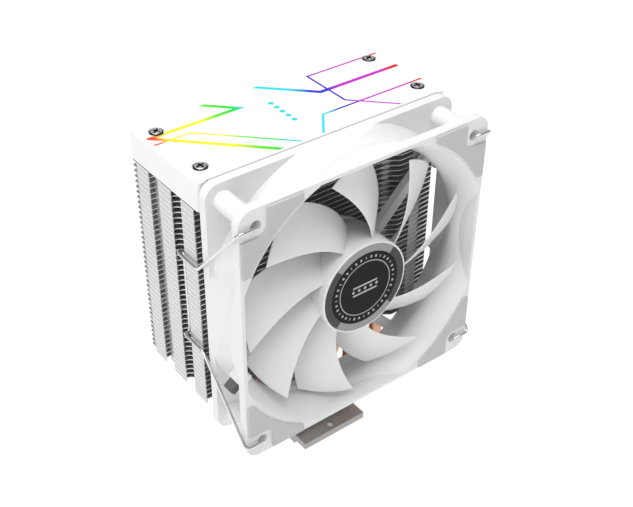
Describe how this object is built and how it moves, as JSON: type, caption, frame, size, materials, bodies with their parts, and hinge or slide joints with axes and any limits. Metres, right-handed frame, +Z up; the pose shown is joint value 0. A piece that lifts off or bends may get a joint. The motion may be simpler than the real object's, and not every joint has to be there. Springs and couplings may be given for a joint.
{
  "type": "cpu tower cooler",
  "caption": "White tower cooler with stacked fins on copper heat pipes, a clipped-on square fan and a top cover with inlaid light lines.",
  "frame": {"origin": "centre of the cold plate's contact face, on the plane the cooler stands on", "axes": "+Z up towards the lit cover, -Y the side the fan is on and air enters, +X across the tower"},
  "size_m": [0.1236, 0.0843, 0.1596],
  "materials": {
    "fins": "satin stamped sheet",
    "copper": "bare copper, lightly polished",
    "base_metal": "satin extruded",
    "screw_steel": "turned and plated",
    "cover_plastic": "white, softly polished",
    "black_screw": "black nickel",
    "white_plastic": "fine moulded grain",
    "light_guide": "frosted, lit from below",
    "board": "solder mask",
    "led_chip": "clear resin over white",
    "pad_rubber": "soft light grey",
    "motor_steel": "plain pressed steel",
    "coil_copper": "enamelled winding",
    "bearing_brass": "porous sintered",
    "blade_plastic": "white, slightly see-through at the edges",
    "label_black": "printed film",
    "label_ring": "printed grey ring",
    "magnet": "bonded magnet",
    "lead_grey": "soft sleeve",
    "clip_wire": "bright spring wire"
  },
  "bodies": {
    "cooler": {"fin_stack": "fins", "heatpipe_1": "copper", "heatpipe_2": "copper", "heatpipe_3": "copper", "heatpipe_4": "copper", "base_block": "base_metal", "base_clamp": "base_metal", "base_screws": "screw_steel", "cold_plate": "copper", "top_cover": "cover_plastic", "cover_screws": "black_screw", "cover_carrier": "white_plastic", "light_guide": "light_guide", "led_board": "board", "led_chips": "led_chip", "fan_frame": "white_plastic", "front_pads": "pad_rubber", "rear_pads": "pad_rubber", "fan_circuit_board": "board", "stator_core": "motor_steel", "stator_coils": "coil_copper", "sleeve_bearing": "bearing_brass", "lead_stub": "lead_grey"},
    "rotor": {"rotor": "blade_plastic", "hub_label": "label_black", "hub_label_ring": "label_ring", "rotor_yoke": "motor_steel", "magnet_ring": "magnet", "rotor_shaft": "screw_steel", "shaft_clip": "black_screw"},
    "left_clip": {"left_fan_clip": "clip_wire"},
    "right_clip": {"right_fan_clip": "clip_wire"}
  },
  "joints": [
    {"name": "rotor_spin", "type": "hinge", "parent": "cooler", "child": "rotor", "pos_m": [0, -0.035, 0.099], "axis": [0, -1, 0], "continuous": true},
    {"name": "left_clip_swing", "type": "hinge", "parent": "cooler", "child": "left_clip", "pos_m": [-0.0582, -0.00825, 0.099], "axis": [0, 0, -1], "range_deg": [0, 32], "stiffness_Nm_per_rad": 0.02, "springref_deg": -17.19},
    {"name": "right_clip_swing", "type": "hinge", "parent": "cooler", "child": "right_clip", "pos_m": [0.0582, -0.00825, 0.099], "axis": [0, 0, 1], "range_deg": [0, 32], "stiffness_Nm_per_rad": 0.02, "springref_deg": -17.19}
  ]
}
